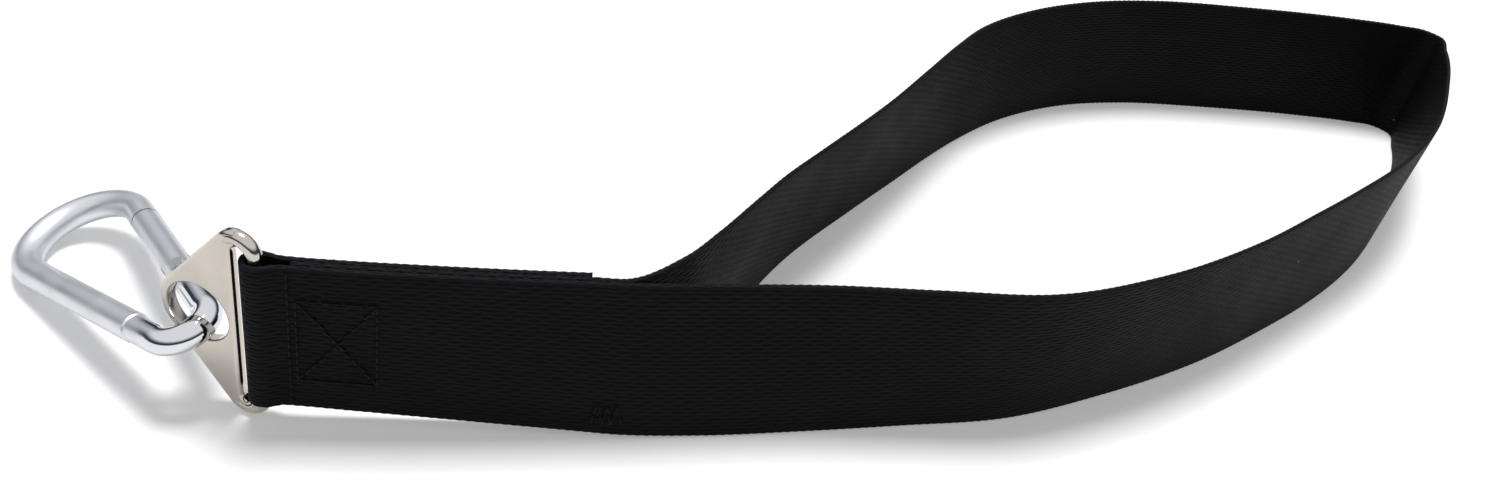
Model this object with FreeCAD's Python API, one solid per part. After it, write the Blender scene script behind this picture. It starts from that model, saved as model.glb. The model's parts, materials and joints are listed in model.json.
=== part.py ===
# Webbing hand loop with a slotted triangle plate and a spring snap hook.
# Millimetres, +Z up. The loop stands on edge, its length along +X, and the origin is
# under the middle of the whole object, on the surface that it stands on.
import FreeCAD, Part
import math
import os

V = FreeCAD.Vector
Z_AXIS = V(0, 0, 1)
ORIGIN = V(0, 0, 0)

# ---------------------------------------------------------------- driving dimensions
# Webbing
web_width = 50.0            # full width of the band
web_thick = 1.5             # one ply
web_gather = 4.0            # the band is this much narrower where it goes round the bar
ply_gap = 0.2               # air between two plies that lie side by side
stack_angle = -20.3         # direction of the sewn stack, from the bar, in degrees
middle_ply_start = 8.0      # cut end of the middle ply, from the bar
pinch_start = 2.2           # where the plies begin to close up behind the bar
pinch_end = 5.4             # where they lie flat together
pinch_bend = 5.0
part_at = 106.0             # along the stack, where the far strand turns away from it
part_bend = 20.0
near_bend_at = 106.0        # along the stack, where the near strand leaves its line
tail_end = 80.0             # cut end of the back ply, from the bar
neck_length = 95.0          # over this length the band widens and comes down to the surface
# Loop: corners of the band's middle line, with the bend radius at each, along the far
# strand, round the far bend, and back along the near strand.
loop_corners = [
    (150, 12.5, 150), (246, 65.5, 150), (303, 89.5, 90), (346, 95.5, 90), (452, 67, 110),
    (503, 45, 11), (479, 17, 60), (443, -9.5, 120), (373, -39.5, 150), (262, -64.5, 150),
    (212, -64.5, 150),
]
loose_bend = 150.0          # where the near strand leaves the stack
# Triangle plate
bar_dia = 4.0               # round bar in the fold of the webbing
bar_play = 0.3              # between the bar and the webbing
slot_width = 3.7            # from the bar to the plate's web
slot_play = 1.0             # the slot is this much taller than the webbing is wide
bar_bend = 4.5              # radius of the bar's corner bends, on its middle line
plate_thick = 3.4
plate_edge_round = 1.2
slot_edge_round = 1.3
hole_edge_round = 0.6
hole_dia = 17.5
eye_wall = 2.2              # metal between the eye and the slot
apex_wall = 2.6             # metal round the hole at the apex
arm_turn = 30.0             # the round bar runs on into the plate's corners by this angle
arm_tip = 2.4               # and then tapers over this length
arm_tip_dia = 2.6           # to this diameter
plate_heading = 133.5       # direction from the bar to the hole, in degrees
# Snap hook
wire_dia = 8.0
neck_draw = 0.6             # the narrow bend's wire is drawn down by this much
wide_inside = 12.0          # inner radii of the two bends
narrow_inside = 3.3
bend_spacing = 61.0         # between the middles of the two bends
hook_turn = 25.7            # hook's heading past the plate's own, towards its front
hook_roll = 16.4            # hook's roll about its own length
hook_lie = 1.65             # bend's middle below the place of a wire that fills the eye
rim_to_bend = 0.67          # from the eye's rim to the bend's middle, at the bend's height
hook_side = 1.0             # bend's middle to the back of the plate's middle plane
neck_run = 9.8              # straight run from the wire's shoulder to the narrow bend
# Gate, measured along it from the end of the wide bend
nose_at = 7.0               # the wire's own end face
nose_gap = 0.5
tongue_length = 6.0
tongue_thick = 2.4
tongue_play = 0.35
tongue_side = 1.6           # from the gate's middle line in to the tongue's inner side
pivot_at = 41.0
fork_clear = 0.41           # round the tang's corners, at the bottom of the fork's slot
tang_thick = 2.6
tang_end = 3.6              # from the pivot to the flat that the plunger presses on
tang_inset = 0.1            # the tang's sides lie this far inside the neck's round
shoulder_gap = 0.6          # between the gate's round fork end and the wire's shoulder
rivet_dia = 2.4
rivet_play = 0.05
rivet_head_dia = 3.8
rivet_head_height = 0.5
bore_dia = 3.4
bore_length = 17.5
plunger_dia = 3.25
plunger_length = 5.0
plunger_gap = 0.1
spring_wire = 0.45
spring_dia = 2.7            # on the wire's middle line
spring_turns = 9
spring_end_gap = 0.15
# Threads
thread_dia = 0.6
thread_proud = 0.3          # height of a stitch line over the webbing
fold_stitch_at = 7.3        # along the stack, from the bar
box_from = 9.2
box_to = 28.5
box_margin = 10.0           # from the box to the edges of the webbing
tack_at = 92.0
tack_length = 8.0
tack_width = 7.0
tack_margin = 3.0
tack_steps = 6


# ---------------------------------------------------------------- plan geometry
def turn(point, angle):
    """A plan point (x, y) turned about the origin by an angle in degrees."""
    a = math.radians(angle)
    return (point[0] * math.cos(a) - point[1] * math.sin(a),
            point[0] * math.sin(a) + point[1] * math.cos(a))


def path_pieces(corners):
    """Straight runs and tangent arcs through (x, y, radius) corners, as plan pieces.

    A line is ("line", start, end); an arc is ("arc", start, end, centre, radius, side),
    with side +1 where the path turns left.
    """
    pieces = []
    here = corners[0][:2]
    for before, corner, after in zip(corners, corners[1:], corners[2:]):
        ax, ay = corner[0] - before[0], corner[1] - before[1]
        bx, by = after[0] - corner[0], after[1] - corner[1]
        run_in, run_out = math.hypot(ax, ay), math.hypot(bx, by)
        ax, ay, bx, by = ax / run_in, ay / run_in, bx / run_out, by / run_out
        bend = math.atan2(ax * by - ay * bx, ax * bx + ay * by)
        radius = corner[2]
        tangent = radius * math.tan(abs(bend) / 2)
        side = 1 if bend > 0 else -1
        start = (corner[0] - ax * tangent, corner[1] - ay * tangent)
        end = (corner[0] + bx * tangent, corner[1] + by * tangent)
        centre = (start[0] - side * ay * radius, start[1] + side * ax * radius)
        pieces.append(("line", here, start))
        pieces.append(("arc", start, end, centre, radius, side))
        here = end
    pieces.append(("line", here, corners[-1][:2]))
    return [p for p in pieces if p[0] == "arc" or math.dist(p[1], p[2]) > 1e-6]


def wall(piece, offset):
    """One piece of the path moved to its left by an offset, as an edge and its two ends."""
    if piece[0] == "line":
        (x0, y0), (x1, y1) = piece[1], piece[2]
        length = math.dist(piece[1], piece[2])
        nx, ny = -(y1 - y0) / length * offset, (x1 - x0) / length * offset
        start, end = V(x0 + nx, y0 + ny, 0), V(x1 + nx, y1 + ny, 0)
        return Part.LineSegment(start, end).toShape(), start, end
    _, start, end, centre, radius, side = piece
    scale = (radius - side * offset) / radius
    middle = V(centre[0], centre[1], 0)
    p0 = middle + (V(start[0], start[1], 0) - middle) * scale
    p1 = middle + (V(end[0], end[1], 0) - middle) * scale
    half = (p0 + p1) * 0.5 - middle
    p_mid = middle + half * (radius * scale / half.Length)
    return Part.Arc(p0, p_mid, p1).toShape(), p0, p1


def path_length(pieces):
    """Length of the path along its middle line."""
    total = 0.0
    for piece in pieces:
        chord = math.dist(piece[1], piece[2])
        if piece[0] == "line":
            total += chord
        else:
            total += 2 * piece[4] * math.asin(min(1.0, chord / (2 * piece[4])))
    return total


def band_outline(pieces, thick):
    """Plan face of a band of even thickness about a path."""
    left = [wall(p, thick / 2) for p in pieces]
    right = [wall(p, -thick / 2) for p in pieces]
    edges = [w[0] for w in left]
    edges.append(Part.LineSegment(left[-1][2], right[-1][2]).toShape())
    edges += [w[0] for w in reversed(right)]
    edges.append(Part.LineSegment(right[0][1], left[0][1]).toShape())
    return Part.Face(Part.Wire(Part.__sortEdges__(edges)))


def prism(points, y_from, y_to):
    """A solid with an outline of (x, z) points, from one y to another."""
    corners = [V(x, y_from, z) for x, z in points]
    return Part.Face(Part.makePolygon(corners + corners[:1])).extrude(V(0, y_to - y_from, 0))


def box(x0, x1, y0, y1, z0, z1):
    """A box between two corners."""
    return Part.makeBox(x1 - x0, y1 - y0, z1 - z0, V(x0, y0, z0))


def in_stack(shape):
    """Place a shape modelled with X along the sewn stack and the bar at the origin."""
    placed = shape.copy()
    placed.rotate(ORIGIN, Z_AXIS, stack_angle)
    return placed


# ---------------------------------------------------------------- webbing
slot_height = web_width + slot_play
web_width_at_bar = web_width - web_gather
plate_half = slot_height / 2 + bar_dia
mid_height = plate_half                                  # the plate stands on its edge
ply_pitch = web_thick + ply_gap
fold_radius = bar_dia / 2 + bar_play + web_thick / 2     # middle line of the fold
web_low_at_bar = mid_height - web_width_at_bar / 2
web_high_at_bar = mid_height + web_width_at_bar / 2


def make_webbing_strap():
    """One band: cut end, far strand, far bend, near strand, fold round the bar, tail."""
    middle_ply = [(middle_ply_start, 0, 0), (part_at, 0, part_bend)]
    outer_plies = [
        (near_bend_at, -ply_pitch, loose_bend),
        (pinch_end, -ply_pitch, pinch_bend), (pinch_start, -fold_radius, pinch_bend),
        (-fold_radius, -fold_radius, fold_radius), (-fold_radius, fold_radius, fold_radius),
        (pinch_start, fold_radius, pinch_bend), (pinch_end, ply_pitch, pinch_bend),
        (tail_end, ply_pitch, 0),
    ]
    corners = [turn(c[:2], stack_angle) + (c[2],) for c in middle_ply]
    corners += loop_corners
    corners += [turn(c[:2], stack_angle) + (c[2],) for c in outer_plies]
    pieces = path_pieces(corners)
    print("webbing: length", round(path_length(pieces), 1), "mm")
    for piece in pieces:
        if piece[0] == "arc":
            print("  bend radius", round(piece[4], 1), "at", [round(v, 1) for v in piece[1]])
    tall = max(web_high_at_bar, web_width)
    band = band_outline(pieces, web_thick).extrude(V(0, 0, tall))
    reach = 4 * web_width
    neck_from = pinch_end
    neck_to = pinch_end + neck_length
    below = prism([(-reach, -1), (neck_to, -1), (neck_to, 0), (neck_from, web_low_at_bar),
                   (-reach, web_low_at_bar)], -reach, reach)
    far = neck_to + 10 * reach
    above = prism([(-reach, web_high_at_bar), (neck_from, web_high_at_bar), (neck_to, web_width),
                   (far, web_width), (far, tall + 1), (-reach, tall + 1)], -reach, reach)
    return band.cut(below).cut(above)


front_face = -ply_pitch - web_thick / 2
back_face = ply_pitch + web_thick / 2
middle_face = web_thick / 2


def stitching(runs, faces):
    """Straight runs of stitching, by their (s, z) ends, on each of the given faces."""
    lines = []
    for face in faces:
        shapes = []
        for start, end in runs:
            ds, dz = end[0] - start[0], end[1] - start[1]
            half = thread_dia / 2
            run = box(-half, math.hypot(ds, dz) + half, 0, thread_proud, -half, half)
            run.rotate(ORIGIN, V(0, 1, 0), -math.degrees(math.atan2(dz, ds)))
            run.translate(V(start[0], face if face > 0 else face - thread_proud, start[1]))
            shapes.append(run)
        line = shapes[0].multiFuse(shapes[1:]) if len(shapes) > 1 else shapes[0]
        lines.append(line.removeSplitter())
    return in_stack(Part.makeCompound(lines))


def make_fold_stitch():
    """One row across the band, close behind the bar."""
    low = web_low_at_bar + 2 * thread_dia
    high = web_high_at_bar - 2 * thread_dia
    return stitching([((fold_stitch_at, low), (fold_stitch_at, high))], (front_face, back_face))


def make_box_x_stitch():
    """A box with a cross in it, through the three plies."""
    low = web_low_at_bar + box_margin
    high = web_high_at_bar - box_margin
    corners = [(box_from, low), (box_to, low), (box_to, high), (box_from, high)]
    runs = list(zip(corners, corners[1:] + corners[:1]))
    runs += [(corners[0], corners[2]), (corners[1], corners[3])]
    return stitching(runs, (front_face, back_face))


def make_bar_tack():
    """A zigzag tack through the two strands, near the lower edge, just before they part."""
    low = tack_margin + thread_dia
    corners = [(tack_at - tack_length + i * tack_length / tack_steps, low + i % 2 * tack_width)
               for i in range(tack_steps + 1)]
    return stitching(list(zip(corners, corners[1:])), (front_face, middle_face))


# ---------------------------------------------------------------- triangle plate
plate_front = bar_dia / 2 + slot_width            # inner edge of the plate's web, from the bar
hole_at = plate_front + eye_wall + hole_dia / 2   # hole's middle, from the bar
apex_radius = hole_dia / 2 + apex_wall


def on_plate(shape):
    """Place a shape modelled with X from the bar to the hole and Z up, bar at the origin."""
    placed = shape.copy()
    placed.rotate(ORIGIN, Z_AXIS, plate_heading)
    placed.translate(V(0, 0, mid_height))
    return placed


def plate_outline():
    """Triangle with rounded corners, in the plate's own plane."""
    corner_radius = bar_bend + bar_dia / 2
    cx, cz = bar_bend, plate_half - corner_radius
    dx, dz = cx - hole_at, cz
    gap = math.hypot(dx, dz)
    base = math.atan2(dz, dx)
    lean = math.acos((apex_radius - corner_radius) / gap)
    up = base - lean
    n = (math.cos(up), math.sin(up))
    top_a = V(hole_at + apex_radius * n[0], 0, apex_radius * n[1])
    top_c = V(cx + corner_radius * n[0], 0, cz + corner_radius * n[1])
    low_a, low_c = V(top_a.x, 0, -top_a.z), V(top_c.x, 0, -top_c.z)
    crown, foot = V(cx, 0, plate_half), V(cx, 0, -plate_half)
    mid = up / 2 + math.pi / 4
    arc_mid = V(cx + corner_radius * math.cos(mid), 0, cz + corner_radius * math.sin(mid))
    edges = [
        Part.Arc(top_a, V(hole_at + apex_radius, 0, 0), low_a).toShape(),
        Part.LineSegment(low_a, low_c).toShape(),
        Part.Arc(low_c, V(arc_mid.x, 0, -arc_mid.z), foot).toShape(),
        Part.LineSegment(foot, crown).toShape(),
        Part.Arc(crown, arc_mid, top_c).toShape(),
        Part.LineSegment(top_c, top_a).toShape(),
    ]
    return Part.Face(Part.Wire(Part.__sortEdges__(edges)))


def rounded(solid, radius, keep):
    """Round the rims that lie in the two faces of the plate, where keep(box) is true."""
    rims = [e for e in solid.Edges if e.BoundBox.YLength < 1e-6 and keep(e.BoundBox)]
    return solid.makeFillet(radius, rims)


def make_triangle_plate():
    """Flat triangular web with a round eye, and a round bar that closes the slot."""
    web = plate_outline().extrude(V(0, plate_thick, 0))
    web.translate(V(0, -plate_thick / 2, 0))
    web = rounded(web, plate_edge_round, lambda b: b.XMax > bar_bend + 1e-3)
    eye = Part.makeCylinder(hole_dia / 2, 2 * plate_thick, V(hole_at, -plate_thick, 0), V(0, 1, 0))
    web = rounded(web.cut(eye), hole_edge_round, lambda b: abs(b.XLength - hole_dia) < 1e-3)
    slot = box(-plate_front, plate_front, -plate_thick, plate_thick, -slot_height / 2, slot_height / 2)
    slot_corners = [e for e in slot.Edges
                    if e.BoundBox.YLength > plate_thick and e.BoundBox.XMin > 0]
    slot = slot.makeFillet(bar_bend - bar_dia / 2, slot_corners)
    web = rounded(web.cut(slot), slot_edge_round, lambda b: abs(b.XMax - plate_front) < 1e-3)
    straight = plate_half - bar_dia / 2 - bar_bend
    radius = bar_dia / 2
    arm_angle = math.radians(arm_turn)
    frame = Part.makeCylinder(radius, 2 * straight, V(0, 0, -straight), Z_AXIS)
    for side in (-1, 1):
        disc = Part.Face(Part.Wire(Part.makeCircle(radius, V(0, 0, side * straight), Z_AXIS)))
        middle = V(bar_bend, 0, side * straight)
        bend = disc.revolve(middle, V(0, side, 0), 90 + arm_turn)
        out = V(math.sin(arm_angle), 0, side * math.cos(arm_angle))
        on = V(math.cos(arm_angle), 0, -side * math.sin(arm_angle))
        tip = Part.makeCone(radius, arm_tip_dia / 2, arm_tip, middle + out * bar_bend, on)
        frame = frame.fuse(bend).fuse(tip)
    return on_plate(web.fuse(frame).removeSplitter())


# ---------------------------------------------------------------- snap hook
wire_radius = wire_dia / 2
neck_dia = wire_dia - neck_draw
wide_bend = wire_radius + wide_inside                    # radii on the wire's middle line
narrow_bend = neck_dia / 2 + narrow_inside
hook_seat = (hole_dia - neck_dia) / 2 + hook_lie         # bend's middle below the hole's middle
hook_reach = math.sqrt((hole_dia / 2) ** 2 - hook_seat ** 2) + rim_to_bend
tang_half = neck_dia / 2 - tang_inset
fork_slot_at = pivot_at - math.hypot(tang_end, tang_half) - fork_clear
bore_start = fork_slot_at - bore_length
side_angle = math.acos((wide_bend - narrow_bend) / bend_spacing)
side_length = bend_spacing * math.sin(side_angle)
shoulder_at = side_length - neck_run
wide_tangent = V(wide_bend * math.cos(side_angle), wide_bend * math.sin(side_angle), 0)


def wire_arc(radius, centre, start, sweep, bend):
    """A bend of round wire in the hook's plane, from a start angle through a sweep."""
    a = math.radians(start)
    at = centre + V(bend * math.cos(a), bend * math.sin(a), 0)
    along = V(-math.sin(a), math.cos(a), 0)
    disc = Part.Face(Part.Wire(Part.makeCircle(radius, at, along)))
    return disc.revolve(centre, Z_AXIS, sweep)


def on_gate(shape):
    """Place a shape modelled with X along the gate's side and Y outwards from the hook."""
    placed = shape.copy()
    placed.rotate(ORIGIN, Z_AXIS, math.degrees(side_angle) - 90)
    placed.translate(wide_tangent)
    return placed


def on_spine(shape):
    """Place a shape modelled with X along the spine, from the wide bend to the narrow one."""
    placed = shape.mirror(ORIGIN, V(0, 1, 0))
    placed.rotate(ORIGIN, Z_AXIS, 90 - math.degrees(side_angle))
    placed.translate(V(wide_tangent.x, -wide_tangent.y, 0))
    return placed


def rod(radius, start, end):
    """A round rod along X between two places."""
    return Part.makeCylinder(radius, end - start, V(start, 0, 0), V(1, 0, 0))


def hook_droop():
    """The droop at which the wide bend rests on the surface, in degrees."""
    bend_z = mid_height - hook_seat
    droop = 0.0
    for _ in range(60):
        level = math.cos(math.radians(droop)) * math.cos(math.radians(hook_roll))
        wide_z = wide_bend * math.sqrt(1 - level * level) + wire_radius
        droop = math.degrees(math.asin((bend_z - wide_z) / bend_spacing))
    return droop


def on_hook(shape):
    """Place a shape modelled in the hook's plane, wide bend at the origin, X to the neck."""
    placed = shape.copy()
    placed.translate(V(-bend_spacing, 0, 0))
    placed.rotate(ORIGIN, V(1, 0, 0), hook_roll)
    placed.rotate(ORIGIN, V(0, 1, 0), -hook_droop())
    placed.rotate(ORIGIN, Z_AXIS, 180 - hook_turn)
    placed.translate(V(hole_at + hook_reach, hook_side, -hook_seat))
    return on_plate(placed)


def make_hook_frame():
    """Bent wire: nose with its tongue, wide bend, spine, shoulder, neck bend and tang."""
    deg = math.degrees(side_angle)
    wide = wire_arc(wire_radius, ORIGIN, deg, 360 - 2 * deg, wide_bend)
    nose = on_gate(rod(wire_radius, 0, nose_at))
    tongue = rod(wire_radius, nose_at - 0.5, nose_at + tongue_length)
    keep = box(0, side_length, -tongue_side, wire_dia, -tongue_thick / 2, tongue_thick / 2)
    tongue = on_gate(tongue.common(keep))
    spine = on_spine(rod(wire_radius, 0, shoulder_at))
    step = wire_radius - neck_dia / 2
    cone = on_spine(Part.makeCone(wire_radius, neck_dia / 2, 2 * step, V(shoulder_at, 0, 0), V(1, 0, 0)))
    neck_low = on_spine(rod(neck_dia / 2, shoulder_at, side_length))
    bend = wire_arc(neck_dia / 2, V(bend_spacing, 0, 0), -deg, 2 * deg, narrow_bend)
    fork_end = pivot_at + wire_radius
    neck_high = on_gate(rod(neck_dia / 2, fork_end + shoulder_gap, side_length))
    tang = box(pivot_at - tang_end, fork_end + shoulder_gap + 0.5, -tang_half, tang_half,
               -tang_thick / 2, tang_thick / 2)
    pin_hole = Part.makeCylinder(rivet_dia / 2 + rivet_play, wire_dia, V(pivot_at, 0, -wire_radius))
    tang = on_gate(tang.cut(pin_hole))
    shape = wide
    for piece in (nose, tongue, spine, cone, neck_low, bend, neck_high, tang):
        shape = shape.fuse(piece)
    return on_hook(shape.removeSplitter())


def make_gate():
    """Round gate with a slotted nose, a forked pivot end and a spring bore."""
    body = rod(wire_radius, nose_at + nose_gap, pivot_at)
    end = Part.makeCylinder(wire_radius, wire_dia, V(pivot_at, 0, -wire_radius))
    end = end.common(rod(wire_radius, pivot_at - wire_radius, pivot_at + wire_radius))
    body = body.fuse(end)
    nose_half = tongue_thick / 2 + tongue_play
    nose_slot = box(0, nose_at + tongue_length + nose_gap, -tongue_side - tongue_play, wire_dia,
                    -nose_half, nose_half)
    fork_half = tang_thick / 2 + tongue_play
    fork_slot = box(fork_slot_at, side_length, -wire_dia, wire_dia, -fork_half, fork_half)
    bore = rod(bore_dia / 2, bore_start, fork_slot_at + 1)
    pin_hole = Part.makeCylinder(rivet_dia / 2, 2 * wire_dia, V(pivot_at, 0, -wire_dia))
    body = body.cut(nose_slot).cut(fork_slot).cut(bore).cut(pin_hole)
    return on_hook(on_gate(body))


def make_gate_rivet():
    """Headed rivet through the fork and the tang."""
    shank = Part.makeCylinder(rivet_dia / 2, wire_dia, V(pivot_at, 0, -wire_radius))
    low = Part.makeCylinder(rivet_head_dia / 2, rivet_head_height,
                            V(pivot_at, 0, -wire_radius - rivet_head_height))
    high = Part.makeCylinder(rivet_head_dia / 2, rivet_head_height, V(pivot_at, 0, wire_radius))
    return on_hook(on_gate(shank.fuse(low).fuse(high).removeSplitter()))


plunger_tip = pivot_at - tang_end - plunger_gap
plunger_tail = plunger_tip - plunger_length


def make_spring_plunger():
    """Short pin that the spring holds against the tang's flat end."""
    return on_hook(on_gate(rod(plunger_dia / 2, plunger_tail, plunger_tip)))


def make_gate_spring():
    """Compression spring in the gate's bore, behind the plunger."""
    start = bore_start + spring_end_gap + spring_wire / 2
    length = plunger_tail - spring_end_gap - spring_wire / 2 - start
    helix = Part.makeHelix(length / spring_turns, length, spring_dia / 2)
    profile = Part.Wire(Part.makeCircle(spring_wire / 2, V(spring_dia / 2, 0, 0), V(0, 1, 0)))
    coil = Part.Wire(helix.Edges).makePipeShell([profile], True, True)
    coil.rotate(ORIGIN, V(0, 1, 0), 90)
    coil.translate(V(start, 0, 0))
    return on_hook(on_gate(coil))


# ---------------------------------------------------------------- build
nodes = {
    "webbing_strap": make_webbing_strap(),
    "fold_stitch": make_fold_stitch(),
    "box_x_stitch": make_box_x_stitch(),
    "bar_tack": make_bar_tack(),
    "triangle_plate": make_triangle_plate(),
    "hook_frame": make_hook_frame(),
    "gate": make_gate(),
    "gate_rivet": make_gate_rivet(),
    "spring_plunger": make_spring_plunger(),
    "gate_spring": make_gate_spring(),
}

whole = Part.makeCompound(list(nodes.values())).optimalBoundingBox(False)
to_origin = V(-whole.Center.x, -whole.Center.y, -whole.ZMin)
print("size", round(whole.XLength, 2), round(whole.YLength, 2), round(whole.ZLength, 2))


def report(name, point, direction=None):
    """Print a place, and a direction, in the finished frame."""
    at = point + to_origin
    text = [round(c, 3) for c in (at.x, at.y, at.z)]
    if direction is not None:
        text += ["axis"] + [round(c, 5) for c in (direction.x, direction.y, direction.z)]
    print(name, *text)


def carried(place, point, tip=None):
    """A point, and the direction to a second one, after a placing function."""
    at = place(Part.Vertex(point)).Point
    if tip is None:
        return at, None
    return at, (place(Part.Vertex(tip)).Point - at).normalize()


report("bar axis", V(0, 0, mid_height), Z_AXIS)
report("hole", *carried(on_plate, V(hole_at, 0, 0), V(hole_at, 1, 0)))
report("gate pivot", *carried(lambda s: on_hook(on_gate(s)), V(pivot_at, 0, 0), V(pivot_at, 0, 1)))
report("plunger", *carried(lambda s: on_hook(on_gate(s)), V(plunger_tip, 0, 0), V(plunger_tip - 1, 0, 0)))
report("hook bow", *carried(on_hook, ORIGIN, V(-1, 0, 0)))
report("hook normal", *carried(on_hook, ORIGIN, V(0, 0, 1)))
print("droop", round(hook_droop(), 2))

os.makedirs("parts", exist_ok=True)
for name, shape in nodes.items():
    shape.translate(to_origin)
    shape.exportStep("parts/" + name + ".step")
    print(name, "valid", shape.isValid(), "solids", len(shape.Solids), "volume", round(shape.Volume, 1))
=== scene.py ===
# A webbing hand loop with a slotted triangle plate and a spring snap hook, standing on edge
# on a pale table. Metres throughout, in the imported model's own frame.
import json
import math

import bpy
import numpy as np
from mathutils import Matrix, Vector, noise

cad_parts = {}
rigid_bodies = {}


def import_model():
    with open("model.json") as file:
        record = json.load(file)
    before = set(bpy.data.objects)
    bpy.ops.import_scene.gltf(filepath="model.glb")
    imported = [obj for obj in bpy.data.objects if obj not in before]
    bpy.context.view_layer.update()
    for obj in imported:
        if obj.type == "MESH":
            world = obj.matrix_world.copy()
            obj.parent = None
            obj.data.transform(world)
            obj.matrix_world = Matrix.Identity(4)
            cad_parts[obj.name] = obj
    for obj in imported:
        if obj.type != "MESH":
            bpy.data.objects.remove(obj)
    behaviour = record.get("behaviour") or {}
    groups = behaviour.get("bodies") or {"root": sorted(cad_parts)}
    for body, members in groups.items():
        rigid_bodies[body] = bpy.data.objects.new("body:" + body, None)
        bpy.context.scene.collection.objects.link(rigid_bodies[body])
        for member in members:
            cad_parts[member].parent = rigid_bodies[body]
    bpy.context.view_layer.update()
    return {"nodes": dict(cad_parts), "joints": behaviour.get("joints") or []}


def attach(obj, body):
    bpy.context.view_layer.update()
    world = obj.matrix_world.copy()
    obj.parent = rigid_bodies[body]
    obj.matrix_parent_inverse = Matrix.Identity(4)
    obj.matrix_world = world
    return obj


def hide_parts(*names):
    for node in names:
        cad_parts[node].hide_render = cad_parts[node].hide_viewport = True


bpy.ops.object.select_all(action="SELECT")
bpy.ops.object.delete()
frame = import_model()
bpy.ops.object.select_all(action="DESELECT")
joints = {joint["name"]: joint for joint in frame["joints"]}
MM = 0.001


# ---- Webbing band --------------------------------------------------------------------------
# One length of black polyester webbing, 50 mm wide, woven with fine lengthwise ribs and round
# selvedges. It goes round the plate's bar, is sewn back on itself as three plies, and stands
# on its edge in a wide loop with one tight far bend.
WEB_WIDTH = 50 * MM
WEB_THICK = 1.5 * MM
PLY_PITCH = 1.7 * MM
STACK_ANGLE = math.radians(-20.3)
BAR = Vector(joints["plate_swing"]["pos_m"])
FOLD_RADIUS = 3.05 * MM
ROW_STEP = 0.6 * MM
LINE_STEPS = 60
SCALLOP = 0.09 * MM
SCALLOP_ROWS = 4
COLUMNS = 20
EDGE_TURNS = (-60, -30, 0, 30, 60)
WAVE_HEIGHT = 0.5 * MM
WAVE_LENGTH = 38 * MM
GATHERED = (46 * MM, 6.5 * MM)  # width and lower edge where it goes round the bar
FLAT = (50 * MM, 0.15 * MM)     # and where it stands on the table
NECK_FROM = 5
NECK_LENGTH = 95
PINCH_AT = 5.4
STACK = [(8, 0), (20, -0.3), (39, -1.4), (60, -3), (80, -4.9), (90, -5.7)]
TAIL_END = 80


def in_stack(along, side):
    """A plan point beside the bar, along the sewn plies and to their left."""
    c, s = math.cos(STACK_ANGLE), math.sin(STACK_ANGLE)
    return BAR.x + along * c - side * s, BAR.y + along * s + side * c


def ply(stations, side, outbound):
    """Route points of one ply, by millimetres along the stack and degrees of lean."""
    points = []
    for along, lean in stations:
        share = min(1.0, max(0.0, (along - NECK_FROM) / NECK_LENGTH))
        width = GATHERED[0] + (FLAT[0] - GATHERED[0]) * share
        low = GATHERED[1] + (FLAT[1] - GATHERED[1]) * share
        points.append((*in_stack(along * MM, side), lean if outbound else -lean, width, low))
    return points


def free(points):
    """Route points of the open loop, by millimetres from the bar and degrees of lean."""
    return [(BAR.x + x * MM, BAR.y + y * MM, lean, *FLAT) for x, y, lean in points]


fold = []
for turn in (90, 130, 180, 230, 270):
    a = math.radians(turn)
    fold.append((*in_stack(FOLD_RADIUS * math.cos(a), FOLD_RADIUS * math.sin(a)), 0, *GATHERED))
near_strand = free([
    (107, -39.7, -6.7), (136, -46.8, -5.7), (166, -53.4, -1.7), (199, -60.2, 2.2), (238, -61, 3.2),
    (284, -57.8, 0.8), (320, -51.5, -1.2), (346, -45.8, -1.9), (388, -32.4, -0.5),
    (420, -17, 1.2), (455, 4.7, 0.6),
])
far_bend = free([(487, 29, -0.9), (497, 40.5, -1), (494.5, 46.5, -0.9), (484, 52.6, -0.8)])
far_strand = free([
    (461, 62.1, -0.5), (412, 78.5, -0.8), (375, 88.5, -1), (345, 92, -0.8), (306, 87.8, 1),
    (275, 77.5, 2.3), (255, 68.6, 0), (233, 57.8, -3), (207, 45.2, -6.6), (164, 22.5, -7.8),
    (147, 10.5, -5.3), (134, 0.3, -3.5), (119, -13, 0), (105, -24.3, 3.6),
])
PINCHED = PLY_PITCH + 0.1 * MM
tail = [station for station in STACK[::-1] if station[0] <= TAIL_END]
route = ply(tail, PLY_PITCH, False) + ply([(PINCH_AT, 0)], PINCHED, False)
route += fold + ply([(PINCH_AT, 0)], -PINCHED, True) + ply(STACK, -PLY_PITCH, True)
route += near_strand + far_bend + far_strand + ply(STACK[::-1], 0, False)


def through(points, step):
    """Rows along a smooth line through the points, one each step, with all their numbers."""
    knots = np.array(points, float)
    gaps = np.linalg.norm(np.diff(knots[:, :2], axis=0), axis=1)
    slopes = np.diff(knots, axis=0) / gaps[:, None]
    inner = slopes[:-1] * gaps[1:, None] + slopes[1:] * gaps[:-1, None]
    tangents = np.vstack([slopes[:1], inner / (gaps[1:] + gaps[:-1])[:, None], slopes[-1:]])
    rows = []
    for i, gap in enumerate(gaps):
        t = np.linspace(0, 1, LINE_STEPS, endpoint=False)[:, None]
        rows.append(knots[i] * (1 + 2 * t) * (1 - t) ** 2 + knots[i + 1] * t ** 2 * (3 - 2 * t)
                    + gap * (tangents[i] * t * (1 - t) ** 2 + tangents[i + 1] * t ** 2 * (t - 1)))
    line = np.vstack(rows + [knots[-1:]])
    walked = np.concatenate([[0], np.cumsum(np.linalg.norm(np.diff(line[:, :2], axis=0), axis=1))])
    stops = np.linspace(0, walked[-1], int(walked[-1] / step) + 1)
    return np.column_stack([stops] + [np.interp(stops, walked, line[:, k]) for k in range(5)])


rows = through(route, ROW_STEP)
headings = np.gradient(rows[:, 1:3], axis=0)
headings /= np.linalg.norm(headings, axis=1)[:, None]


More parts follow.
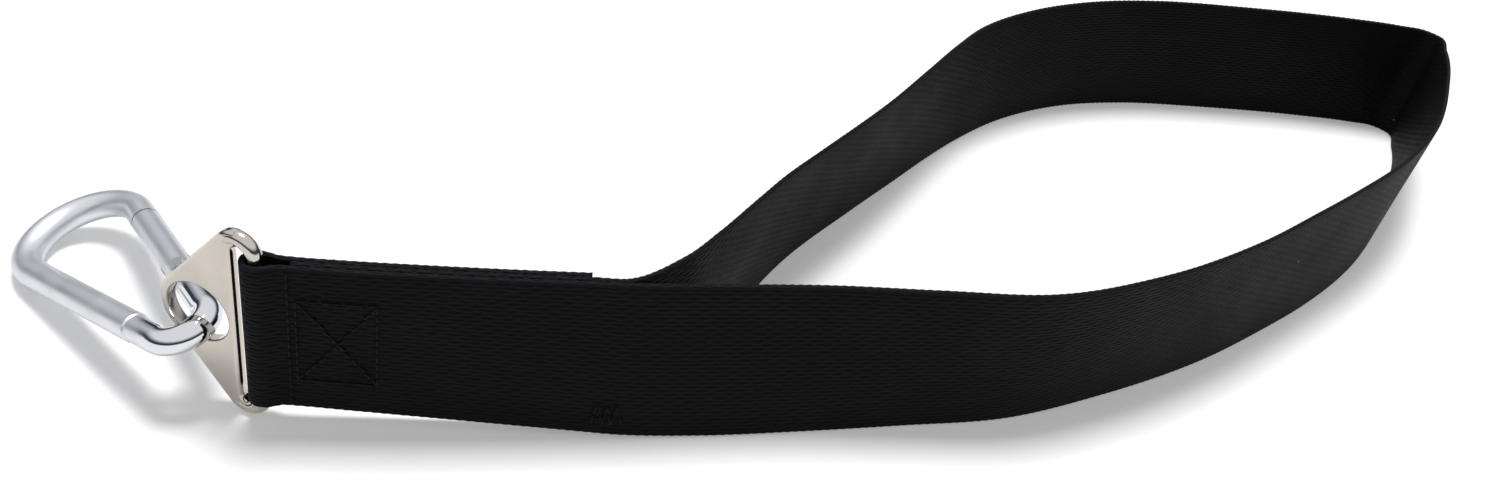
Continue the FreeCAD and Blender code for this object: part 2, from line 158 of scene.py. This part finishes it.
def on_band(row, across, out):
    """A point on the band: across from its lower edge, and out from its middle to the left."""
    _, x, y, lean, width, low = rows[row]
    tx, ty = headings[row]
    a = math.radians(lean)
    up = Vector((ty * math.sin(a), -tx * math.sin(a), math.cos(a)))
    left = Vector((-ty * math.cos(a), tx * math.cos(a), math.sin(a)))
    share = across / WEB_WIDTH
    place = Vector((x, y, low)) + up * share * width
    wave = tx * WAVE_HEIGHT * noise.noise(place / WAVE_LENGTH)
    wave *= math.sin(math.pi * min(1, max(0, share)))
    return place + left * (out + wave)


half = WEB_THICK / 2
edge = [(half * (1 - math.cos(a)), half * math.sin(a))
        for a in (math.radians(turn) for turn in EDGE_TURNS)]
across = [half + (WEB_WIDTH - 2 * half) * i / COLUMNS for i in range(COLUMNS + 1)]
section = [(c, out, 0) for c, out in edge] + [(c, half, None) for c in across]
section += [(WEB_WIDTH - c, -out, 1) for c, out in edge] + [(c, -half, None) for c in across[::-1]]
verts, faces = [], []
for row in range(len(rows)):
    bead = SCALLOP * math.cos(2 * math.pi * row / SCALLOP_ROWS)
    for c, out, rim in section:
        shift = 0 if rim is None else (bead if rim else -bead)
        verts.append(on_band(row, c + shift, out))
ring = len(section)
for row in range(len(rows) - 1):
    for k in range(ring):
        a, b = row * ring + k, row * ring + (k + 1) % ring
        faces.append((a, a + ring, b + ring, b))
mesh = bpy.data.meshes.new("webbing_band")
mesh.from_pydata(verts, [], faces)
mesh.update()
band = bpy.data.objects.new("webbing_band", mesh)
bpy.context.collection.objects.link(band)
mesh.polygons.foreach_set("use_smooth", [True] * len(mesh.polygons))
weave = mesh.attributes.new("weave", "FLOAT_VECTOR", "POINT")
weave.data.foreach_set("vector", [value for row in rows[:, 0] for c, _, _ in section
                                  for value in (row, c, 0)])
bpy.context.view_layer.objects.active = band
band.select_set(True)
bpy.ops.object.mode_set(mode="EDIT")
bpy.ops.mesh.select_all(action="DESELECT")
bpy.ops.mesh.select_non_manifold()
bpy.ops.mesh.edge_face_add()
bpy.ops.mesh.select_all(action="SELECT")
bpy.ops.mesh.normals_make_consistent(inside=False)
bpy.ops.object.mode_set(mode="OBJECT")
band.select_set(False)


def add(tree, kind, inputs=(), **settings):
    """A node with its settings, and its inputs given as values or as sockets to link."""
    node = tree.nodes.new(kind)
    for name, value in settings.items():
        setattr(node, name, value)
    for name, value in dict(inputs).items():
        if isinstance(value, bpy.types.NodeSocket):
            tree.links.new(value, node.inputs[name])
        else:
            node.inputs[name].default_value = value
    return node


def maths(tree, operation, *values, clamp=False):
    """The result of one arithmetic node."""
    return add(tree, "ShaderNodeMath", enumerate(values), operation=operation,
               use_clamp=clamp).outputs[0]


def group(name, inputs, outputs):
    """An empty node group with named sockets, its input node and its output node."""
    tree = bpy.data.node_groups.new(name, "ShaderNodeTree")
    for direction, sockets in (("INPUT", inputs), ("OUTPUT", outputs)):
        for socket, kind in sockets.items():
            tree.interface.new_socket(socket, in_out=direction, socket_type="NodeSocket" + kind)
    return tree, tree.nodes.new("NodeGroupInput").outputs, tree.nodes.new("NodeGroupOutput").inputs


def finish_of(name, roughness, metallic=0.0, specular=0.5):
    """A new material, its node tree and its shader."""
    material = bpy.data.materials.new(name)
    material.use_nodes = True
    tree = material.node_tree
    shader = tree.nodes["Principled BSDF"]
    shader.inputs["Roughness"].default_value = roughness
    shader.inputs["Metallic"].default_value = metallic
    shader.inputs["Specular IOR Level"].default_value = specular
    return material, tree, shader


def bump(tree, shader, height, distance, strength=1.0):
    """Connect a height to a shader's normal through a bump node."""
    node = add(tree, "ShaderNodeBump", {"Height": height, "Distance": distance,
                                        "Strength": strength})
    tree.links.new(node.outputs["Normal"], shader.inputs["Normal"])


WANDER_GRAIN = 260.0
WANDER_TURN = 5.0
SWAY = 0.16
CREST_SHARPNESS = 0.7
FLOAT_DIP = 0.2

ribs, given, result = group("woven ribs", {
    "Coordinates": "Vector", "Rib pitch": "Float", "Float length": "Float",
}, {"Height": "Float", "Valley": "Float"})
parts = add(ribs, "ShaderNodeSeparateXYZ", {0: given["Coordinates"]}).outputs
wander = add(ribs, "ShaderNodeTexNoise", {"Vector": given["Coordinates"], "Scale": WANDER_GRAIN,
                                         "Detail": 2.0}).outputs["Fac"]
number = maths(ribs, "DIVIDE", parts["Y"], given["Rib pitch"])
phase = maths(ribs, "MULTIPLY", maths(ribs, "FLOOR", number), math.pi)
wander_turn = maths(ribs, "MULTIPLY", wander, WANDER_TURN)
swing = maths(ribs, "DIVIDE", maths(ribs, "MULTIPLY", parts["X"], 2 * math.pi),
              given["Float length"])
swing = maths(ribs, "SINE", maths(ribs, "ADD", maths(ribs, "ADD", swing, phase), wander_turn))
bent = maths(ribs, "ADD", number, maths(ribs, "MULTIPLY", swing, SWAY))
crest = maths(ribs, "ABSOLUTE", maths(ribs, "SINE", maths(ribs, "MULTIPLY", bent, math.pi)))
crest = maths(ribs, "POWER", crest, CREST_SHARPNESS)
floats = maths(ribs, "MULTIPLY_ADD", swing, FLOAT_DIP, 1 - FLOAT_DIP)
ribs.links.new(maths(ribs, "MULTIPLY", crest, floats), result["Height"])
ribs.links.new(maths(ribs, "SUBTRACT", 1.0, crest, clamp=True), result["Valley"])

RIB_PITCH = 1.25 * MM
FLOAT_LENGTH = 5.5 * MM
RIB_DEPTH = 0.32 * MM
SELVEDGE = 1.4 * MM
YARN = (0.0042, 0.0042, 0.0054, 1)
# Painted shade: the near-black colour given to the valleys between the ribs.
YARN_VALLEY_SHADE = (0.0006, 0.0006, 0.0009, 1)
YARN_RIM = (0.010, 0.010, 0.012, 1)
LINT = (0.42, 0.42, 0.43, 1)
LINT_CELL = 7 * MM
LINT_SIZE = 0.042
LINT_SHARE = 0.05
PATCH_GRAIN = 55.0
ROUGH_FROM = 0.52
ROUGH_TO = 0.74

webbing, tree, shader = finish_of("black polyester webbing", 0.62, specular=0.08)
place = add(tree, "ShaderNodeAttribute", attribute_name="weave").outputs["Vector"]
woven = add(tree, "ShaderNodeGroup", node_tree=ribs)
woven.inputs["Rib pitch"].default_value = RIB_PITCH
woven.inputs["Float length"].default_value = FLOAT_LENGTH
tree.links.new(place, woven.inputs["Coordinates"])
from_middle = maths(tree, "ABSOLUTE", maths(
    tree, "SUBTRACT", add(tree, "ShaderNodeSeparateXYZ", {0: place}).outputs["Y"], WEB_WIDTH / 2))
rim = add(tree, "ShaderNodeMapRange", {
    "Value": from_middle, "From Min": WEB_WIDTH / 2 - SELVEDGE, "From Max": WEB_WIDTH / 2,
}, interpolation_type="SMOOTHSTEP").outputs[0]
patches = add(tree, "ShaderNodeTexNoise", {"Vector": place, "Scale": PATCH_GRAIN,
                                           "Detail": 4.0}).outputs["Fac"]
# The rib valleys are painted darker than the crests: painted shade in the weave's recesses.
body = add(tree, "ShaderNodeMix", {"Factor": woven.outputs["Valley"], 6: YARN, 7: YARN_VALLEY_SHADE},
           data_type="RGBA").outputs[2]
body = add(tree, "ShaderNodeMix", {
    "Factor": maths(tree, "MULTIPLY", rim, patches), 6: body, 7: YARN_RIM,
}, data_type="RGBA").outputs[2]
cells = add(tree, "ShaderNodeTexVoronoi", {"Vector": place, "Scale": 1 / LINT_CELL}).outputs
speck = maths(tree, "LESS_THAN", cells["Distance"], LINT_SIZE)
lot = add(tree, "ShaderNodeSeparateColor", {0: cells["Color"]}).outputs[0]
chosen = maths(tree, "LESS_THAN", lot, LINT_SHARE)
body = add(tree, "ShaderNodeMix", {
    "Factor": maths(tree, "MULTIPLY", speck, chosen), 6: body, 7: LINT}, data_type="RGBA").outputs[2]
tree.links.new(body, shader.inputs["Base Color"])
worn = add(tree, "ShaderNodeMapRange", {"Value": patches, "To Min": ROUGH_FROM,
                                        "To Max": ROUGH_TO}).outputs[0]
tree.links.new(worn, shader.inputs["Roughness"])
bump(tree, shader, woven.outputs["Height"], RIB_DEPTH)
mesh.materials.append(webbing)
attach(band, "strap")
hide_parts("webbing_strap")


# ---- Stitching -----------------------------------------------------------------------------
# Black bonded thread. Each row is a line of single lock stitches, which sink into the webbing
# at both ends: one row behind the bar, a box with a cross, and a zigzag tack by the lower edge.
STITCH_LENGTH = 2.9 * MM
STITCH_GAP = 0.35 * MM
THREAD = 0.62 * MM
SUNK = 0.12 * MM
FOLD_STITCH_AT = 7.3
BOX = (9.2, 28.5, 10.9, 39.1)
TACK = (84.0, 92.0, 3.6, 10.6)
TACK_RUNS = 6
STRAND_GRAIN = 2500.0
STRAND_DEPTH = 0.1 * MM
THREAD_DARK = (0.001, 0.001, 0.0015, 1)
THREAD_PALE = (0.006, 0.006, 0.007, 1)

thread, tree, shader = finish_of("black sewing thread", 0.5, specular=0.12)
where = add(tree, "ShaderNodeTexCoord").outputs["Object"]
strands = add(tree, "ShaderNodeTexNoise", {"Vector": where, "Scale": STRAND_GRAIN,
                                           "Detail": 1.0}).outputs["Fac"]
tone = add(tree, "ShaderNodeMix", {"Factor": strands, 6: THREAD_DARK, 7: THREAD_PALE},
           data_type="RGBA").outputs[2]
tree.links.new(tone, shader.inputs["Base Color"])
bump(tree, shader, strands, STRAND_DEPTH)

bpy.ops.mesh.primitive_uv_sphere_add(segments=8, ring_count=6, radius=0.5)
stitch_form = bpy.context.object
stitch_form.rotation_euler = (0, math.pi / 2, 0)
bpy.ops.object.transform_apply(location=False, rotation=True, scale=False)


def row_beside(along, side):
    """The band's row nearest to a place on the sewn plies."""
    x, y = in_stack(along * MM, side)
    return int(np.argmin((rows[:, 1] - x) ** 2 + (rows[:, 2] - y) ** 2))


def stitch_row(start, end, side):
    """Matrices of the single stitches of a straight run, from (along, up) to (along, up)."""
    placed = []
    length = math.dist(start, end) * MM
    count = max(1, round(length / STITCH_LENGTH))
    out_axis = Vector((*in_stack(0, 1), BAR.z)) - BAR
    if side < 0:
        out_axis.negate()
    for i in range(count):
        ends = []
        for part in (i, i + 0.5, i + 1):
            along = start[0] + (end[0] - start[0]) * part / count
            up = start[1] + (end[1] - start[1]) * part / count
            row = row_beside(along, side * PLY_PITCH)
            ends.append(on_band(row, up * MM, SUNK - half - THREAD / 2))
        along_axis = (ends[2] - ends[0]).normalized()
        across_axis = out_axis.cross(along_axis).normalized()
        size = Matrix.Diagonal((length / count - STITCH_GAP, THREAD, THREAD)).to_4x4()
        turned = Matrix((along_axis, across_axis, out_axis)).transposed().to_4x4()
        placed.append(Matrix.Translation(ends[1]) @ turned @ size)
    return placed


def sewn(name, runs, sides, cad_node):
    """One piece of stitching from its straight runs, on each of the given sides."""
    copies = []
    for side in sides:
        for start, end in runs:
            for matrix in stitch_row(start, end, side):
                copy = stitch_form.copy()
                copy.data = stitch_form.data.copy()
                copy.data.transform(matrix)
                bpy.context.collection.objects.link(copy)
                copies.append(copy)
    bpy.ops.object.select_all(action="DESELECT")
    for copy in copies:
        copy.select_set(True)
    bpy.context.view_layer.objects.active = copies[0]
    copies[0].matrix_world = Matrix.Identity(4)
    bpy.ops.object.join()
    piece = bpy.context.object
    piece.name = name
    piece.data.materials.append(thread)
    piece.data.polygons.foreach_set("use_smooth", [True] * len(piece.data.polygons))
    piece.select_set(False)
    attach(piece, "strap")
    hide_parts(cad_node)


box_corners = [(BOX[0], BOX[2]), (BOX[1], BOX[2]), (BOX[1], BOX[3]), (BOX[0], BOX[3])]
box_runs = list(zip(box_corners, box_corners[1:] + box_corners[:1]))
box_runs += [(box_corners[0], box_corners[2]), (box_corners[1], box_corners[3])]
tack_corners = [(TACK[0] + (TACK[1] - TACK[0]) * i / TACK_RUNS, TACK[2 + i % 2])
                for i in range(TACK_RUNS + 1)]
sewn("fold_stitches", [((FOLD_STITCH_AT, 1.3), (FOLD_STITCH_AT, 48.7))], (-1, 1), "fold_stitch")
sewn("box_stitches", box_runs, (-1, 1), "box_x_stitch")
sewn("tack_stitches", list(zip(tack_corners, tack_corners[1:])), (-1, 0), "bar_tack")
bpy.data.objects.remove(stitch_form)


# ---- Triangle plate ------------------------------------------------------------------------
# Nickel-plated casting: flat satin faces of a warm tone, and polished rounded rims at the eye,
# the slot and the outer edge. A round bar closes the slot and carries the webbing.
SCRATCH_STRETCH = 0.12
SCRATCH_DEPTH = 0.02 * MM
SCRATCH_STRENGTH = 0.3

handled, given, result = group("handled metal", {
    "Coordinates": "Vector", "Grain size": "Float", "Scratch size": "Float",
}, {"Smudge": "Float", "Scratches": "Float"})
smudge = add(handled, "ShaderNodeTexNoise", {
    "Vector": given["Coordinates"], "Scale": given["Grain size"], "Detail": 5.0}).outputs["Fac"]
stretched = add(handled, "ShaderNodeVectorMath", {
    0: given["Coordinates"], 1: (1.0, 1.0, SCRATCH_STRETCH)}, operation="MULTIPLY").outputs[0]
lines = add(handled, "ShaderNodeTexNoise", {"Vector": stretched, "Scale": given["Scratch size"],
                                           "Detail": 3.0}).outputs["Fac"]
handled.links.new(smudge, result["Smudge"])
handled.links.new(lines, result["Scratches"])


def metal(name, colour, shade, rough, rough_worn, grain, scratch, depth=SCRATCH_DEPTH):
    """A plated metal whose tone and roughness change with handling; also its worn mask."""
    material, tree, shader = finish_of(name, rough, metallic=1.0)
    where = add(tree, "ShaderNodeTexCoord").outputs["Object"]
    marks = add(tree, "ShaderNodeGroup", node_tree=handled)
    marks.inputs["Grain size"].default_value = grain
    marks.inputs["Scratch size"].default_value = scratch
    tree.links.new(where, marks.inputs["Coordinates"])
    tone = add(tree, "ShaderNodeMix", {"Factor": marks.outputs["Smudge"], 6: (*colour, 1),
                                       7: (*shade, 1)}, data_type="RGBA").outputs[2]
    worn = add(tree, "ShaderNodeMapRange", {"Value": marks.outputs["Smudge"], "From Min": 0.3,
                                            "From Max": 0.7, "To Min": rough,
                                            "To Max": rough_worn}).outputs[0]
    tree.links.new(tone, shader.inputs["Base Color"])
    tree.links.new(worn, shader.inputs["Roughness"])
    bump(tree, shader, marks.outputs["Scratches"], depth, SCRATCH_STRENGTH)
    return material, tree, shader, worn


def carry(node, material):
    """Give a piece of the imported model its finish."""
    mesh = frame["nodes"][node].data
    mesh.materials.clear()
    mesh.materials.append(material)


NICKEL = (0.60, 0.56, 0.505)
NICKEL_SHADE = (0.50, 0.465, 0.415)
POLISHED_ROUGH = 0.12
RIM_FROM = 0.90
RIM_TO = 0.995

nickel, tree, shader, satin = metal("satin nickel", NICKEL, NICKEL_SHADE, 0.26, 0.40, 90.0, 1400.0)
EYE = Vector(joints["hook_swing"]["pos_m"])
plate_normal = (EYE - BAR).cross(Vector((0, 0, 1))).normalized()
facing = add(tree, "ShaderNodeVectorMath", {
    0: add(tree, "ShaderNodeTexCoord").outputs["Normal"], 1: plate_normal}, operation="DOT_PRODUCT")
flat = maths(tree, "ABSOLUTE", facing.outputs["Value"])
flat = add(tree, "ShaderNodeMapRange", {"Value": flat, "From Min": RIM_FROM,
                                        "From Max": RIM_TO}).outputs[0]
rim_rough = add(tree, "ShaderNodeMix", {"Factor": flat, 2: POLISHED_ROUGH, 3: satin}).outputs[0]
tree.links.new(rim_rough, shader.inputs["Roughness"])
carry("triangle_plate", nickel)


# ---- Snap hook -----------------------------------------------------------------------------
# Bent round steel wire, bright zinc plated: the wire body is satin, and its narrow bend is
# rubbed bright where it turns in the plate's eye. The gate is a thicker tube of the same steel.
ZINC = (0.71, 0.725, 0.755)
ZINC_SHADE = (0.63, 0.645, 0.675)
RUBBED_FROM = 13 * MM
RUBBED_TO = 19 * MM
RUBBED_ROUGH = 0.07
STEEL = (0.60, 0.61, 0.63)
STEEL_SHADE = (0.48, 0.49, 0.51)
SPRING = (0.45, 0.45, 0.47)
SPRING_SHADE = (0.33, 0.33, 0.35)
DRAWN_DEPTH = 0.01 * MM

zinc, tree, shader, satin = metal("bright zinc", ZINC, ZINC_SHADE, 0.34, 0.46, 120.0, 900.0)
gap = add(tree, "ShaderNodeVectorMath", {
    0: add(tree, "ShaderNodeTexCoord").outputs["Object"], 1: EYE}, operation="DISTANCE")
rubbed = add(tree, "ShaderNodeMapRange", {
    "Value": gap.outputs["Value"], "From Min": RUBBED_FROM, "From Max": RUBBED_TO,
    "To Min": 0.0, "To Max": 1.0}, interpolation_type="SMOOTHSTEP").outputs[0]
zinc_rough = add(tree, "ShaderNodeMix", {"Factor": rubbed, 2: RUBBED_ROUGH, 3: satin}).outputs[0]
tree.links.new(zinc_rough, shader.inputs["Roughness"])
carry("hook_frame", zinc)
gate_zinc = metal("bright zinc gate", ZINC, ZINC_SHADE, 0.34, 0.44, 150.0, 1100.0)[0]
carry("gate", gate_zinc)
rivet_steel = metal("turned steel", STEEL, STEEL_SHADE, 0.25, 0.45, 300.0, 2500.0)[0]
carry("gate_rivet", rivet_steel)
carry("spring_plunger", rivet_steel)
spring_steel = metal("drawn spring wire", SPRING, SPRING_SHADE, 0.3, 0.5, 400.0, 3000.0,
                     DRAWN_DEPTH)[0]
carry("gate_spring", spring_steel)


# ---- Table, light and camera ---------------------------------------------------------------
# A white table in a white studio, one large soft light high above and behind the loop, and a
# camera that looks along the loop from above the hook's side.
TABLE_SIZE = 6
TABLE_GLOW = 0.25
LAMP_PLACE = (0.16, 0.58, 3.0)
LAMP_SIZE = 0.8
LAMP_POWER = 80
CAMERA_PLACE = (-0.2548, -0.2645, 0.2538)
CAMERA_LENS = 30.54

bpy.ops.mesh.primitive_plane_add(size=1)
table = bpy.context.object
table.name = "table"
bpy.ops.object.mode_set(mode="EDIT")
bpy.ops.transform.resize(value=(TABLE_SIZE,) * 3)
bpy.ops.object.mode_set(mode="OBJECT")
paper = bpy.data.materials.new("white paper")
paper.use_nodes = True
tree = paper.node_tree
matt = add(tree, "ShaderNodeBsdfDiffuse", {"Color": (0.8, 0.8, 0.8, 1)})
glow = add(tree, "ShaderNodeEmission", {"Color": (1, 1, 1, 1)})
rays = add(tree, "ShaderNodeLightPath").outputs
seen = maths(tree, "MAXIMUM", rays["Is Camera Ray"], maths(
    tree, "MAXIMUM", rays["Is Glossy Ray"], rays["Is Transmission Ray"]))
tree.links.new(maths(tree, "MULTIPLY", seen, TABLE_GLOW), glow.inputs["Strength"])
both = add(tree, "ShaderNodeAddShader", {0: matt.outputs[0], 1: glow.outputs[0]})
tree.links.new(both.outputs[0], tree.nodes["Material Output"].inputs["Surface"])
table.data.materials.append(paper)

world = bpy.data.worlds.new("studio")
bpy.context.scene.world = world
world.use_nodes = True
tree = world.node_tree
sky = tree.nodes["Background"]
rays = add(tree, "ShaderNodeLightPath").outputs
up = add(tree, "ShaderNodeSeparateXYZ", {0: add(tree, "ShaderNodeTexCoord").outputs["Generated"]})
ramp = add(tree, "ShaderNodeValToRGB", {"Fac": up.outputs["Z"]})
ramp.color_ramp.elements[0].position = 0.20
ramp.color_ramp.elements[0].color = (0.05, 0.06, 0.085, 1)
ramp.color_ramp.elements[1].position = 0.44
ramp.color_ramp.elements[1].color = (0.95, 0.95, 0.97, 1)
plain = (0.34, 0.34, 0.35, 1)
room = add(tree, "ShaderNodeMix", {"Factor": rays["Is Glossy Ray"], 6: plain,
                                   7: ramp.outputs["Color"]}, data_type="RGBA").outputs[2]
backdrop = add(tree, "ShaderNodeMix", {
    "Factor": maths(tree, "MAXIMUM", rays["Is Camera Ray"], rays["Is Transmission Ray"]), 6: room,
    7: (1, 1, 1, 1)}, data_type="RGBA").outputs[2]
tree.links.new(backdrop, sky.inputs["Color"])


def lamp(name, place, target, size, power):
    """A square soft light aimed at a point."""
    data = bpy.data.lights.new(name, "AREA")
    data.shape = "RECTANGLE"
    data.size, data.size_y = size
    data.energy = power
    light = bpy.data.objects.new(name, data)
    light.location = place
    light.rotation_euler = (Vector(target) - Vector(place)).to_track_quat("-Z", "Y").to_euler()
    bpy.context.collection.objects.link(light)
    return light


lamp("key", LAMP_PLACE, (0, 0, 0), (LAMP_SIZE, LAMP_SIZE), LAMP_POWER)

VIEW_HEADING = math.radians(34.4)
VIEW_PITCH = math.radians(36.46)
VIEW_ROLL = math.radians(12.74)
forward = Vector((math.sin(VIEW_HEADING) * math.cos(VIEW_PITCH),
                  math.cos(VIEW_HEADING) * math.cos(VIEW_PITCH), -math.sin(VIEW_PITCH)))
level = Vector((math.cos(VIEW_HEADING), -math.sin(VIEW_HEADING), 0))
upright = level.cross(forward)
right = level * math.cos(VIEW_ROLL) + upright * math.sin(VIEW_ROLL)
above = upright * math.cos(VIEW_ROLL) - level * math.sin(VIEW_ROLL)
camera = bpy.data.objects.new("camera", bpy.data.cameras.new("camera"))
camera.data.lens = CAMERA_LENS
camera.data.sensor_width = 36
camera.data.clip_start = 0.01
camera.matrix_world = Matrix.Translation(CAMERA_PLACE) @ Matrix(
    (right, above, -forward)).transposed().to_4x4()
bpy.context.collection.objects.link(camera)
bpy.context.scene.camera = camera
bpy.context.scene.view_settings.view_transform = "Standard"
